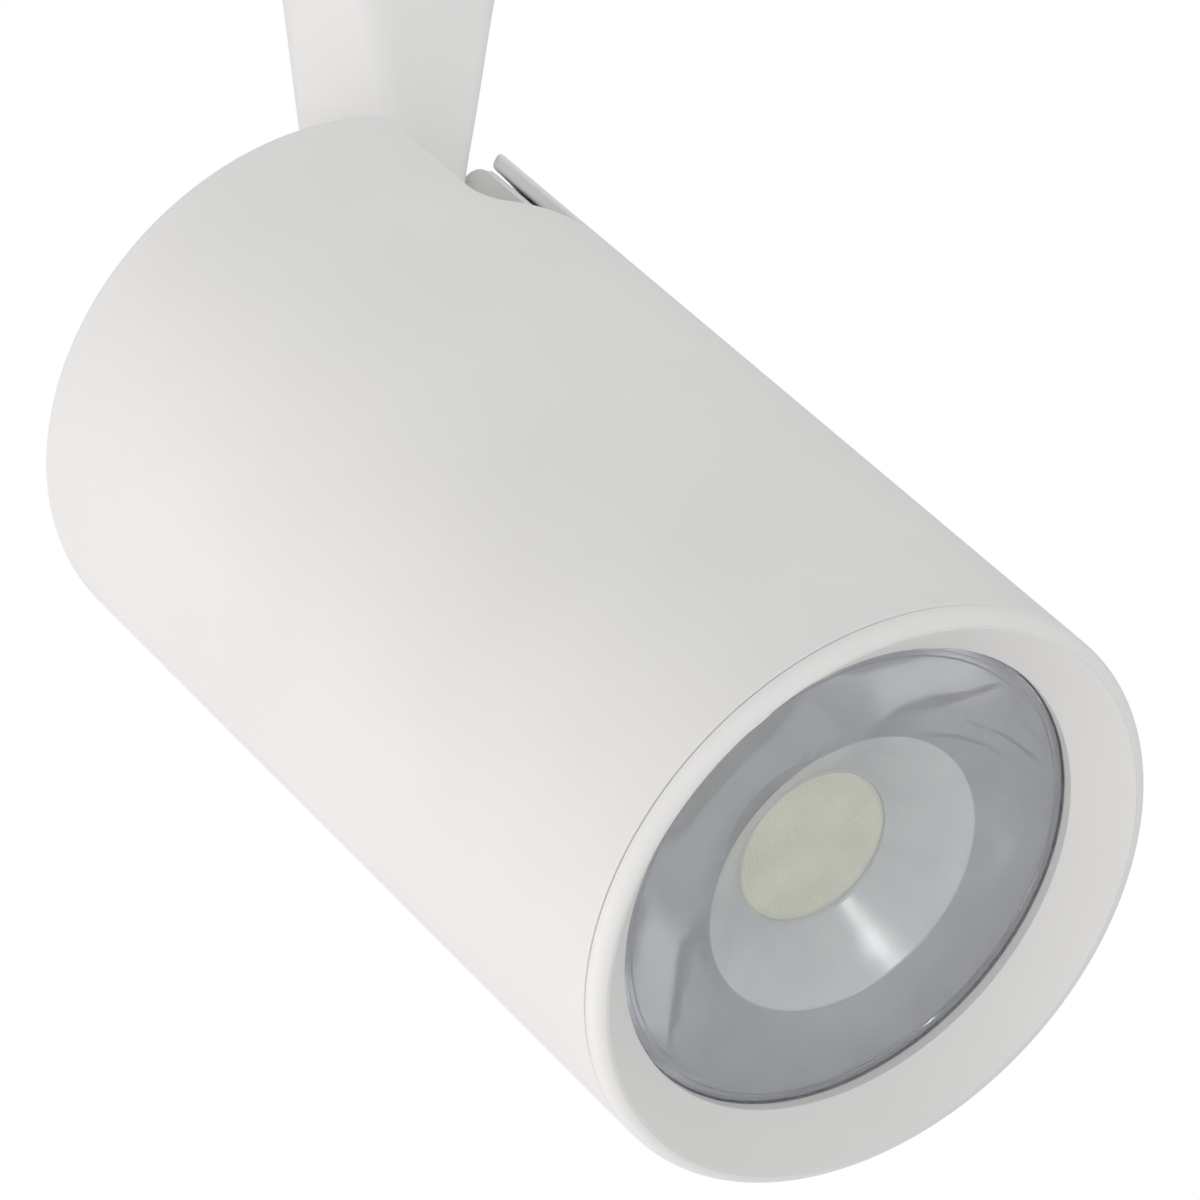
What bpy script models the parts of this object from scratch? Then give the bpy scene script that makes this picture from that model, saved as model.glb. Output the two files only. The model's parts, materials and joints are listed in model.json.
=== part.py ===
"""Track spotlight: a cylindrical LED head on a flared arm, hung from a driver box with a track adapter.

All sizes below are in millimetres. The origin is on the pan axis, in the plane that seats against the
track, +Z up and the lens heading towards -Y. Head pieces are built along the head's own axis: local Z runs
from the pivot to the rear, local -Y is the head's top, and "s" is a distance behind the front ring.
"""

import math

import bmesh
import bpy
from mathutils import Matrix

MM = 0.001
GAP = 0.3

# Head
HEAD_R = 45.0
HEAD_LENGTH = 150.1
WALL = 2.5
BORE_R = HEAD_R - WALL
PIVOT_S = 128.4
TILT_DOWN = 40.3
BEZEL_SEAM_S = 1.0
BEZEL_FILLET_R = 2.2
BEZEL_NOSE_S = -1.5
OPENING_R = 36.3
OPENING_S = 4.9
SLOT_HALF = 10.7
SLOT_FRONT_S = 122.3
SLOT_CORNER_R = 4.0

# Lens and light source
LENS_R = 37.5
LENS_FRONT_S = 6.6
LENS_FLANGE_S = 9.4
LENS_RIM_S = 26.0
LENS_RIM_R = 13.0
LENS_THROAT_R = 36.0
WELL_R = 21.5
WELL_FLOOR_R = 11.7
WELL_FLOOR_S = 14.6
CAVITY_R = 11.0
CAVITY_S = 17.0
BOARD_S = 27.8
BOARD_HALF = 12.0
BOARD_T = 1.4
COB_R = 8.8
COB_S = 26.9
COB_T = 0.6
PAD_S = 29.5
PAD_T = 0.4
PAD_HALF = 11.5
CLAMP_R = 25.0
CLAMP_BORE_R = 15.6
CLAMP_STEP_R = 17.4
CLAMP_S = 26.2
COB_SCREW_X = 21.6
SCREW_SHANK_R = 1.5
SCREW_HOLE_R = 1.8
PAN_HEAD_R = 3.0

# Heat sink, bracket and rear cover
SINK_S = 30.2
SINK_BASE_T = 7.8
SINK_END_S = 102.7
SINK_R = 42.1
FIN_COUNT = 18
FIN_T = 2.2
FIN_TIP_R = 41.9
CORE_R = 13.0
POST_R = 4.0
POST_CIRCLE_R = 36.0
POST_END_S = 145.4
POST_ANGLES = (0.0, 108.0, -108.0)
CHEEK_IN = 8.4
CHEEK_OUT = 10.4
CHEEK_TOP = 40.9
CHEEK_BOTTOM = 12.0
CHEEK_REAR_S = 150.0
BRACKET_S = 103.0
BRACKET_SCREW_Y = (-7.0, 7.0)
COVER_S = 145.7
COVER_T = 2.6
NOTCH_HALF = 10.9
VENT_XS = (-27.5, -22.0, -16.5, 16.5, 22.0, 27.5)
VENT_HALF_WIDTH = 1.5
VENT_HALF_LENGTH = 16.0
LEAD_R = 1.6
LEAD_CIRCLE_R = 20.0

# Pivot hardware
BOLT_R = 4.0
BOLT_HEAD_R = 7.0
BOLT_HEAD_T = 4.0
NUT_R = 6.6
NUT_T = 4.2
WASHER_R = 9.0
WASHER_T = 0.5
SPRING_R = 7.5
SPRING_T = 1.2

# Arm
ARM_LENGTH = 95.0
ARM_WIDTH = 14.6
ARM_DEPTH = 21.0
ARM_EYE_R = ARM_DEPTH / 2
FLARE_FROM = 41.0
FLARE_TO = 80.0
FLARE_PER_MM = 0.52
ARM_EDGE_R = 2.5
FLARE_EDGE_R = 6.0
SHOULDER_HEIGHT = 87.0
SHOULDER = (34.2, 22.5, 9.0)  # width, depth and corner radius
COLLAR_HEIGHT = 90.5
COLLAR_R = 17.3
CHANNEL_HALF = 3.5
STUD_R = 6.5
STUD_BORE_R = 3.6
STOP_R = 14.0
STOP_PIN_R = 1.2
PAN_LIMIT = 170.0

# Driver box and track adapter
BOX_HALF = 18.0
BOX_FRONT_Y = -112.0
BOX_REAR_Y = 30.0
BOX_HEIGHT = 34.0
BOX_WALL = 2.2
BOX_FLOOR = 3.0
BOX_CORNER_R = 5.0
BASE_T = 8.0
RECESS_DEPTH = 0.4
POCKET_LOW = -6.5
POCKET_HIGH = -2.0
TOWER_HALF = 8.5
TOWER_FRONT_Y = -104.0
TOWER_REAR_Y = -4.0
TOWER_HEIGHT = 17.0
LOCK_Y = -77.0
CONTACT_Y = -24.0
LEVER_R = 12.0
SHAFT_HALF = 3.0
CAM_REACH = 13.2
BOX_SCREW_X = 12.0
BOX_SCREW_INSET = 5.5
BOARD_Z = -33.0

BOX_TOP = -BASE_T - GAP
BOX_BOTTOM = BOX_TOP - BOX_HEIGHT
COLLAR_Z = BOX_BOTTOM - 1.0 - 2 * GAP
PIVOT_Z = COLLAR_Z - ARM_LENGTH

# Facets round a full circle
BIG = 64
OPTIC = 40
MEDIUM = 24
SMALL = 12

# The clamp ring has an odd number of facets, so that no edge runs through a screw hole's axis
CLAMP_STEPS = 35

# Colour, roughness and metallic value of each finish
FINISHES = {
    "white paint": ((0.86, 0.86, 0.85), 0.45, 0.0),
    "white plastic": ((0.82, 0.82, 0.80), 0.50, 0.0),
    "clear lens": ((0.78, 0.84, 0.90), 0.08, 0.0),
    "silicone": ((0.55, 0.56, 0.58), 0.70, 0.0),
    "phosphor": ((0.90, 0.86, 0.45), 0.55, 0.0),
    "ceramic": ((0.85, 0.86, 0.84), 0.40, 0.0),
    "aluminium": ((0.62, 0.63, 0.65), 0.40, 1.0),
    "steel": ((0.55, 0.55, 0.56), 0.35, 1.0),
    "copper": ((0.75, 0.45, 0.28), 0.35, 1.0),
    "nylon": ((0.80, 0.80, 0.76), 0.55, 0.0),
    "circuit board": ((0.10, 0.32, 0.16), 0.50, 0.0),
    "black plastic": ((0.04, 0.04, 0.045), 0.50, 0.0),
    "grey pad": ((0.40, 0.42, 0.45), 0.80, 0.0),
    "cable": ((0.75, 0.75, 0.74), 0.55, 0.0),
}

# A prism's outline is drawn flat and extruded upwards. These stand it up: the outline in the YZ plane
# and the extrusion towards +X, or the outline in the XZ plane and the extrusion towards -Y.
STAND_IN_YZ = Matrix(((0, 0, 1, 0), (1, 0, 0, 0), (0, 1, 0, 0), (0, 0, 0, 1)))
STAND_IN_XZ = Matrix(((1, 0, 0, 0), (0, 0, -1, 0), (0, 1, 0, 0), (0, 0, 0, 1)))


def clear_scene():
    for thing in list(bpy.data.objects):
        bpy.data.objects.remove(thing)


def at(s):
    """Local Z of a point s behind the front ring."""
    return s - PIVOT_S


def circle(radius, steps, x=0.0, y=0.0):
    angles = [2 * math.pi * i / steps for i in range(steps)]
    return [(x + radius * math.cos(a), y + radius * math.sin(a)) for a in angles]


def arc(radius, x, y, start, end, steps):
    """Points on an arc, angles in degrees, both ends included."""
    angles = [math.radians(start + (end - start) * i / steps) for i in range(steps + 1)]
    return [(x + radius * math.cos(a), y + radius * math.sin(a)) for a in angles]


def rectangle(x0, x1, y0, y1):
    return [(x0, y0), (x1, y0), (x1, y1), (x0, y1)]


def rounded(x0, x1, y0, y1, radius, steps=4):
    """A rectangle with round corners, anticlockwise from its lower right corner."""
    corners = ((x1, y0, -90), (x1, y1, 0), (x0, y1, 90), (x0, y0, 180))
    points = []
    for x, y, start in corners:
        centre_x = x - radius if x == x1 else x + radius
        centre_y = y - radius if y == y1 else y + radius
        points += arc(radius, centre_x, centre_y, start, start + 90, steps)
    return points


def loft(rings):
    """A closed body through rings of points, with a flat cap at each end."""
    body = bmesh.new()
    loops = [[body.verts.new(point) for point in ring] for ring in rings]
    for low, high in zip(loops, loops[1:]):
        for i in range(len(low)):
            body.faces.new((low[i - 1], low[i], high[i], high[i - 1]))
    body.faces.new(reversed(loops[0]))
    body.faces.new(loops[-1])
    bmesh.ops.recalc_face_normals(body, faces=body.faces)
    return body


def prism(outline, low, high):
    return loft([[(x, y, z) for x, y in outline] for z in (low, high)])


def block(x0, x1, y0, y1, z0, z1):
    return prism(rectangle(x0, x1, y0, y1), z0, z1)


def rod(radius, low, high, steps=SMALL, x=0.0, y=0.0):
    return prism(circle(radius, steps, x, y), low, high)


def lathe(profile, steps):
    """A closed body: a closed outline of (radius, height) points turned about local Z."""
    body = bmesh.new()
    loops = []
    for radius, height in profile:
        points = circle(radius, steps) if radius else [(0.0, 0.0)]
        loops.append([body.verts.new((x, y, height)) for x, y in points])
    for a, b in zip(loops, loops[1:] + loops[:1]):
        for i in range(steps if len(a) + len(b) > 2 else 0):
            j = (i + 1) % steps
            corners = (a[i % len(a)], a[j % len(a)], b[j % len(b)], b[i % len(b)])
            body.faces.new(dict.fromkeys(corners))
    bmesh.ops.recalc_face_normals(body, faces=body.faces)
    return body


def ring(inner, outer, low, high, steps=MEDIUM):
    return lathe([(inner, low), (outer, low), (outer, high), (inner, high)], steps)


def turned(body, matrix):
    bmesh.ops.transform(body, matrix=matrix, verts=body.verts)
    return body


def along_x(body):
    """Lays a body made along local Z down along X, its high end at +X."""
    return turned(body, Matrix.Rotation(math.pi / 2, 4, "Y"))


def add_mesh(name, body, parent):
    bmesh.ops.scale(body, vec=(MM, MM, MM), verts=body.verts)
    mesh = bpy.data.meshes.new(name)
    body.to_mesh(mesh)
    body.free()
    made = bpy.data.objects.new(name, mesh)
    bpy.context.scene.collection.objects.link(made)
    made.parent = parent
    return made


def paint(made, finish):
    colour, roughness, metallic = FINISHES[finish]
    material = bpy.data.materials.new(made.name)
    material.use_nodes = True
    shader = material.node_tree.nodes["Principled BSDF"]
    shader.inputs["Base Color"].default_value = (*colour, 1.0)
    shader.inputs["Roughness"].default_value = roughness
    shader.inputs["Metallic"].default_value = metallic
    made.data.materials.append(material)


def combine(made, operation, bodies):
    """Joins bodies to an object, cuts them from it, or keeps only what lies in them."""
    for body in bodies:
        tool = add_mesh(f"{made.name}_tool_{len(made.modifiers)}", body, made.parent)
        tool.hide_render = True
        tool.display_type = "WIRE"
        boolean = made.modifiers.new(operation.lower(), "BOOLEAN")
        boolean.operation = operation
        boolean.solver = "EXACT"
        boolean.object = tool


def part(name, body, finish, parent=None, cuts=(), joins=(), keep=()):
    """One named piece: the body, plus joins, less cuts, and only where it lies inside keep."""
    made = add_mesh(name, body, parent)
    paint(made, finish)
    combine(made, "UNION", joins)
    combine(made, "DIFFERENCE", cuts)
    combine(made, "INTERSECT", keep)
    made.data.shade_smooth()
    made.data.set_sharp_from_angle(angle=math.radians(35))
    return made


def lead(name, points, radius, parent):
    """A round lead along a smooth list of points."""
    curve = bpy.data.curves.new(name, "CURVE")
    curve.dimensions = "3D"
    curve.bevel_depth = radius * MM
    curve.bevel_resolution = 2
    curve.use_fill_caps = True
    spline = curve.splines.new("POLY")
    spline.points.add(len(points) - 1)
    for target, (x, y, z) in zip(spline.points, points):
        target.co = (x * MM, y * MM, z * MM, 1.0)
    made = bpy.data.objects.new(name, curve)
    bpy.context.scene.collection.objects.link(made)
    made.parent = parent
    paint(made, "cable")


def axis_empty(name, x, y, z, parent=None, tilt=0.0):
    empty = bpy.data.objects.new(name, None)
    bpy.context.scene.collection.objects.link(empty)
    empty.location = (x * MM, y * MM, z * MM)
    empty.rotation_euler = (math.radians(tilt), 0.0, 0.0)
    empty.parent = parent
    return empty


# --- Head: shell, bezel and optics -----------------------------------------------------------------


def make_housing(head):
    front = at(BEZEL_SEAM_S + GAP)
    rear = at(HEAD_LENGTH)
    edge = 0.6
    tube = [(BORE_R, front), (HEAD_R, front), (HEAD_R, rear - edge), (HEAD_R - edge, rear), (BORE_R, rear)]
    # The slot is open at the rear and has rounded inner corners at its front end.
    slot = arc(SLOT_CORNER_R, SLOT_CORNER_R - SLOT_HALF, at(SLOT_FRONT_S) + SLOT_CORNER_R, 180, 270, 4)
    slot += arc(SLOT_CORNER_R, SLOT_HALF - SLOT_CORNER_R, at(SLOT_FRONT_S) + SLOT_CORNER_R, 270, 360, 4)
    slot += [(SLOT_HALF, rear + 10), (-SLOT_HALF, rear + 10)]
    cutter = turned(prism(slot, 20, HEAD_R + 5), STAND_IN_XZ)
    part("housing", lathe(tube, BIG), "white paint", head, cuts=[cutter])


def make_bezel(head):
    """The dished front ring, with a spigot that plugs into the housing."""
    lip_s, seat_s, spigot_s = 6.2, 8.6, 16.0
    seat_r, spigot_bore_r = LENS_R + 0.6, 39.8
    centre_r = HEAD_R - BEZEL_FILLET_R
    fillet = arc(BEZEL_FILLET_R, centre_r, at(BEZEL_NOSE_S) + BEZEL_FILLET_R, 0, -90, 3)
    profile = [(HEAD_R, at(BEZEL_SEAM_S))] + fillet
    profile += [(OPENING_R, at(OPENING_S)), (OPENING_R, at(lip_s)), (seat_r, at(lip_s))]
    profile += [(seat_r, at(seat_s)), (spigot_bore_r, at(seat_s)), (spigot_bore_r, at(spigot_s))]
    profile += [(BORE_R - GAP, at(spigot_s)), (BORE_R - GAP, at(BEZEL_SEAM_S))]
    part("front_bezel", lathe(profile, BIG), "white paint", head)


def collector_radius(s):
    """Radius of the lens's reflecting outer surface: a parabola from its rim to its flange."""
    share = (LENS_RIM_S - s) / (LENS_RIM_S - LENS_FLANGE_S)
    return math.sqrt(LENS_RIM_R**2 + (LENS_THROAT_R**2 - LENS_RIM_R**2) * share)


def collector_points(start, end, offset, steps=4):
    stations = [start + (end - start) * i / steps for i in range(steps + 1)]
    return [(collector_radius(s) + offset, at(s)) for s in stations]


def make_lens(head):
    """A solid collector lens: flat front, a well with a round floor, and a cavity over the light source."""
    step_s = 7.4
    profile = [(LENS_R, at(step_s)), (LENS_THROAT_R, at(step_s)), (LENS_THROAT_R, at(LENS_FRONT_S))]
    profile += [(WELL_R, at(LENS_FRONT_S)), (WELL_FLOOR_R, at(WELL_FLOOR_S)), (0, at(WELL_FLOOR_S))]
    profile += [(0, at(CAVITY_S)), (CAVITY_R, at(CAVITY_S)), (CAVITY_R, at(LENS_RIM_S))]
    profile += collector_points(LENS_RIM_S, LENS_FLANGE_S, 0) + [(LENS_R, at(LENS_FLANGE_S))]
    part("lens", lathe(profile, OPTIC), "clear lens", head)
    gasket = ring(LENS_THROAT_R + 0.5, LENS_R - 0.1, at(6.5), at(7.1), OPTIC)
    part("lens_gasket", gasket, "silicone", head)


def make_lens_holder(head):
    """The cup that carries the lens on the light source's clamp ring."""
    rim_s, foot_s, lip_s = 9.9, 25.9, 11.2
    rim_r, clearance, wall = 39.3, 0.6, 1.6
    inner = collector_points(foot_s, rim_s, clearance)
    outer = collector_points(lip_s, foot_s, clearance + wall)
    profile = inner + [(rim_r, at(rim_s)), (rim_r, at(lip_s))] + outer
    part("lens_holder", lathe(profile, OPTIC), "white plastic", head)


def make_light_source(head):
    """The light source: substrate, phosphor, clamp ring with its screws, and the pad under it."""
    size = BOARD_HALF
    top, bottom = at(BOARD_S), at(BOARD_S + BOARD_T)
    part("cob_board", block(-size, size, -size, size, top, bottom), "ceramic", head)
    part("cob_phosphor", rod(COB_R, at(COB_S), at(COB_S + COB_T), MEDIUM), "phosphor", head)
    pad = block(-PAD_HALF, PAD_HALF, -PAD_HALF, PAD_HALF, at(PAD_S), at(PAD_S + PAD_T))
    part("thermal_pad", pad, "grey pad", head)
    foot, face, step = at(PAD_S + PAD_T), at(CLAMP_S), at(BOARD_S - GAP)
    clamp = [(CLAMP_STEP_R, foot), (CLAMP_R, foot), (CLAMP_R, face)]
    clamp += [(CLAMP_BORE_R, face), (CLAMP_BORE_R, step), (CLAMP_STEP_R, step)]
    lead_x, lead_y = lead_place()
    through = (at(CLAMP_S - 5), at(PAD_S + 5))
    cuts = [rod(LEAD_R + 0.5, *through, SMALL, lead_x, lead_y)]
    cuts += [rod(SCREW_HOLE_R, *through, SMALL, x) for x in (-COB_SCREW_X, COB_SCREW_X)]
    part("cob_clamp", lathe(clamp, CLAMP_STEPS), "white plastic", head, cuts=cuts)
    for number, x in ((1, -COB_SCREW_X), (2, COB_SCREW_X)):
        head_of_screw = rod(2.6, at(CLAMP_S - GAP - 1.3), at(CLAMP_S - GAP), SMALL, x)
        shank = rod(SCREW_SHANK_R, at(CLAMP_S - 1), at(34), SMALL, x)
        part(f"cob_screw_{number}", head_of_screw, "steel", head, joins=[shank])


def lead_place():
    """Where the lead runs back between two fins, below the axis."""
    angle = math.pi / FIN_COUNT
    return LEAD_CIRCLE_R * math.sin(angle), LEAD_CIRCLE_R * math.cos(angle)


# --- Head: heat sink, bracket and rear cover -------------------------------------------------------


def fin_outline():
    """Radial fins round a core: each fin's tip, then the root between it and the next."""
    points = []
    pitch = 2 * math.pi / FIN_COUNT
    for i in range(FIN_COUNT):
        middle = pitch * i + math.pi / 2
        for radius, side in ((CORE_R, -1), (FIN_TIP_R, -1), (FIN_TIP_R, 1), (CORE_R, 1)):
            angle = middle + side * math.asin(FIN_T / 2 / radius)
            points.append((radius * math.cos(angle), radius * math.sin(angle)))
    return points


def post_places():
    angles = [math.radians(a) for a in POST_ANGLES]
    return [(POST_CIRCLE_R * math.sin(a), POST_CIRCLE_R * math.cos(a)) for a in angles]


def make_heat_sink(head):
    base_end = SINK_S + SINK_BASE_T
    base = rod(SINK_R, at(SINK_S), at(base_end), BIG)
    joins = [prism(fin_outline(), at(base_end - 2), at(SINK_END_S))]
    joins += [rod(POST_R, at(base_end - 1), at(POST_END_S), SMALL, x, y) for x, y in post_places()]
    lead_x, lead_y = lead_place()
    cuts = [rod(LEAD_R + 0.6, at(SINK_S - 5), at(base_end + 5), SMALL, lead_x, lead_y)]
    cuts += [rod(SCREW_HOLE_R, at(SINK_S - 5), at(35.5), SMALL, x) for x in (-COB_SCREW_X, COB_SCREW_X)]
    cuts += [rod(SCREW_HOLE_R, at(132), at(POST_END_S + 5), SMALL, x, y) for x, y in post_places()]
    cuts += [rod(SCREW_HOLE_R, at(93), at(SINK_END_S + 5), SMALL, 0, y) for y in BRACKET_SCREW_Y]
    part("heat_sink", base, "aluminium", head, joins=joins, cuts=cuts)


def make_bracket(head):
    """A folded and painted strap whose two cheeks carry the pivot bolt."""
    front, rear, sheet = at(BRACKET_S), at(CHEEK_REAR_S), CHEEK_OUT - CHEEK_IN
    strap = [(-CHEEK_OUT, front), (CHEEK_OUT, front), (CHEEK_OUT, rear), (CHEEK_IN, rear)]
    strap += [(CHEEK_IN, front + sheet), (-CHEEK_IN, front + sheet), (-CHEEK_IN, rear), (-CHEEK_OUT, rear)]
    body = turned(prism(strap, -CHEEK_BOTTOM - 3, CHEEK_TOP + 3), STAND_IN_XZ)
    corner = 4.0
    side = [(CHEEK_BOTTOM, front - 2), (-16.0, front - 2), (-16.0, front), (-CHEEK_TOP, front + 15)]
    side += arc(corner, corner - CHEEK_TOP, rear - corner, 180, 90, 5)
    side += arc(corner, CHEEK_BOTTOM - corner, rear - corner, 90, 0, 5)
    keep = turned(prism(side, -CHEEK_OUT - 3, CHEEK_OUT + 3), STAND_IN_YZ)
    cuts = [along_x(rod(BOLT_R + GAP, -CHEEK_OUT - 3, CHEEK_OUT + 3, MEDIUM))]
    cuts += [rod(SCREW_HOLE_R, front - 5, front + 5, SMALL, 0, y) for y in BRACKET_SCREW_Y]
    part("pivot_bracket", body, "white paint", head, cuts=cuts, keep=[keep])
    seat = front + sheet + GAP
    for number, y in enumerate(BRACKET_SCREW_Y, 1):
        pan_head = rod(PAN_HEAD_R, seat, seat + 2, SMALL, 0, y)
        shank = rod(SCREW_SHANK_R, at(95), seat + 1, SMALL, 0, y)
        part(f"bracket_screw_{number}", pan_head, "steel", head, joins=[shank])


def make_rear_cover(head):
    low, high = at(COVER_S), at(COVER_S + COVER_T)
    notch = block(-NOTCH_HALF, NOTCH_HALF, -60, CHEEK_BOTTOM + 1, low - 5, high + 5)
    vents = []
    for x in VENT_XS:
        sides = (x - VENT_HALF_WIDTH, x + VENT_HALF_WIDTH)
        vents.append(block(*sides, -VENT_HALF_LENGTH, VENT_HALF_LENGTH, low - 5, high + 5))
    holes = [rod(SCREW_HOLE_R + 0.1, low - 5, high + 5, SMALL, x, y) for x, y in post_places()]
    disc = rod(SINK_R, low, high, BIG)
    part("rear_cover", disc, "white plastic", head, cuts=[notch, *vents, *holes])
    for number, (x, y) in enumerate(post_places(), 1):
        pan_head = rod(PAN_HEAD_R, high + GAP, high + GAP + 1.4, SMALL, x, y)
        shank = rod(SCREW_SHANK_R, at(135), high + GAP + 0.5, SMALL, x, y)
        part(f"cover_screw_{number}", pan_head, "steel", head, joins=[shank])


def make_pivot_hardware(head):
    """Bolt, friction washers, disc spring and nut, all on the pivot axis."""
    head_in = -CHEEK_OUT - GAP
    spring_x = CHEEK_OUT + GAP
    nut_x = spring_x + SPRING_T + GAP
    socket_r = 2.6
    bolt_head = along_x(rod(BOLT_HEAD_R, head_in - BOLT_HEAD_T, head_in, MEDIUM))
    shank = along_x(rod(BOLT_R, head_in - 1, nut_x + NUT_T + 1, MEDIUM))
    socket = along_x(rod(socket_r, head_in - 8, head_in - 2, 6))
    part("pivot_bolt", bolt_head, "steel", head, joins=[shank], cuts=[socket])
    for number, low in ((1, -ARM_WIDTH / 2 - GAP - WASHER_T), (2, ARM_WIDTH / 2 + GAP)):
        washer = along_x(ring(BOLT_R + GAP, WASHER_R, low, low + WASHER_T))
        part(f"friction_washer_{number}", washer, "nylon", head)
    spring = along_x(ring(BOLT_R + GAP, SPRING_R, spring_x, spring_x + SPRING_T))
    part("disc_spring", spring, "steel", head)
    bore = along_x(rod(BOLT_R + GAP, nut_x - 5, nut_x + NUT_T + 5, MEDIUM))
    nut = along_x(rod(NUT_R, nut_x, nut_x + NUT_T, 6))
    part("pivot_nut", nut, "steel", head, cuts=[bore])


def make_cob_lead(head):
    x, y = lead_place()
    stations = [27.0 + i * (122.0 - 27.0) / 16 for i in range(17)]
    lead("cob_lead", [(x, y, at(s)) for s in stations], LEAD_R, head)


# --- Arm and swivel --------------------------------------------------------------------------------


def arm_ring(height):
    """The arm's outline at a height above the pivot: a round eye, a flared blade, then a round collar."""
    width, depth, radius = ARM_WIDTH, ARM_DEPTH, ARM_EDGE_R
    if height < 0:
        depth = 2 * math.sqrt(ARM_EYE_R**2 - height**2)
        radius = min(radius, depth / 2 - 0.05)
    if height > FLARE_FROM:
        share = (min(height, FLARE_TO) - FLARE_FROM) / (FLARE_TO - FLARE_FROM)
        width += FLARE_PER_MM * (min(height, FLARE_TO) - FLARE_FROM)
        radius += (FLARE_EDGE_R - ARM_EDGE_R) * share
    if height > FLARE_TO:
        width, depth, radius = SHOULDER
    if height > SHOULDER_HEIGHT:
        width, depth, radius = 2 * COLLAR_R, 2 * COLLAR_R, COLLAR_R
    outline = rounded(-width / 2, width / 2, -depth / 2, depth / 2, radius - 0.001)
    return [(x, y, height) for x, y in outline]


def make_arm(pan):
    heights = [-10.3, -9.4, -7.8, -5.5, -3, 0, 20, FLARE_FROM, 48, 60, 70, FLARE_TO]
    heights += [SHOULDER_HEIGHT, COLLAR_HEIGHT, ARM_LENGTH]
    body = loft([arm_ring(height) for height in heights])
    channel = block(-CHANNEL_HALF, CHANNEL_HALF, -CHANNEL_HALF, CHANNEL_HALF, 15, 85)
    window = block(-CHANNEL_HALF + 0.4, CHANNEL_HALF - 0.4, 0, 20, 15.4, 25)
    stud_bore = rod(STUD_R + GAP, 82, ARM_LENGTH + 5, MEDIUM)
    pin_hole = rod(STOP_PIN_R + GAP, ARM_LENGTH - 5, ARM_LENGTH + 5, SMALL, 0, -STOP_R)
    pivot_bore = along_x(rod(BOLT_R + GAP, -20, 20, MEDIUM))
    part("arm", body, "white paint", pan, cuts=[channel, window, stud_bore, pin_hole, pivot_bore])
    stations = [18.0 + i * (108.0 - 18.0) / 15 for i in range(16)]
    lead("arm_lead", [(0, 0, z) for z in stations], 2.2, pan)


def make_swivel(pan):
    """A hollow stud clamps the arm under the box; a pin in the collar stops it short of a full turn."""
    floor_top = BOX_BOTTOM + BOX_FLOOR - PIVOT_Z
    washer_z = ARM_LENGTH + GAP
    part("swivel_washer", ring(STUD_R + GAP, 11.5, washer_z, washer_z + 1.0), "nylon", pan)
    wave_z = floor_top + GAP
    part("wave_washer", ring(STUD_R + GAP, 10.5, wave_z, wave_z + 0.8), "steel", pan)
    nut_z = wave_z + 0.8 + GAP
    stud = ring(STUD_BORE_R, STUD_R, ARM_LENGTH - 12, nut_z + 6)
    part("swivel_stud", stud, "steel", pan)
    bore = rod(STUD_R + GAP, nut_z - 5, nut_z + 10, MEDIUM)
    part("swivel_nut", rod(10.5, nut_z, nut_z + 4.5, 6), "steel", pan, cuts=[bore])
    pin = rod(STOP_PIN_R, ARM_LENGTH - 4.5, BOX_BOTTOM + 1.1 - PIVOT_Z, SMALL, 0, -STOP_R)
    part("stop_pin", pin, "steel", pan)


# --- Driver box ------------------------------------------------------------------------------------


def box_screw_places():
    ends = (BOX_FRONT_Y + BOX_SCREW_INSET, BOX_REAR_Y - BOX_SCREW_INSET)
    return [(x, y) for y in ends for x in (-BOX_SCREW_X, BOX_SCREW_X)]


def stop_groove():
    """The blind groove in the box's underside in which the stop pin runs."""
    half_width = STOP_PIN_R + 0.4
    half_angle = PAN_LIMIT + math.degrees((STOP_PIN_R + 0.25) / STOP_R)
    outer = arc(STOP_R + half_width, 0, 0, -90 - half_angle, -90 + half_angle, 36)
    inner = arc(STOP_R - half_width, 0, 0, -90 + half_angle, -90 - half_angle, 36)
    return prism(outer + inner, BOX_BOTTOM - 2, BOX_BOTTOM + 1.6)


def make_driver_housing():
    outer = rounded(-BOX_HALF, BOX_HALF, BOX_FRONT_Y, BOX_REAR_Y, BOX_CORNER_R)
    inset = BOX_WALL
    inner = rounded(
        -BOX_HALF + inset, BOX_HALF - inset, BOX_FRONT_Y + inset, BOX_REAR_Y - inset, BOX_CORNER_R - inset
    )
    floor = BOX_BOTTOM + BOX_FLOOR
    body = prism(outer, BOX_BOTTOM, BOX_TOP)
    cuts = [prism(inner, floor, BOX_TOP + 5), stop_groove()]
    cuts.append(rod(STUD_R + GAP, BOX_BOTTOM - 5, floor + 5, MEDIUM))
    made = part("driver_housing", body, "white paint", cuts=cuts)
    add_bosses(made, floor)


def add_bosses(made, floor):
    """Screw bosses in the corners and rests under the circuit board."""
    shapes = [rod(3.4, floor - 1, BOX_TOP - 1, SMALL, x, y) for x, y in box_screw_places()]
    shapes += [rod(2.5, floor - 1, BOARD_Z - GAP, SMALL, x, y) for x in (-11, 11) for y in (-96, -30)]
    bores = [rod(1.6, BOX_TOP - 14, BOX_TOP + 5, SMALL, x, y) for x, y in box_screw_places()]
    combine(made, "UNION", shapes)
    combine(made, "DIFFERENCE", bores)


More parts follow.
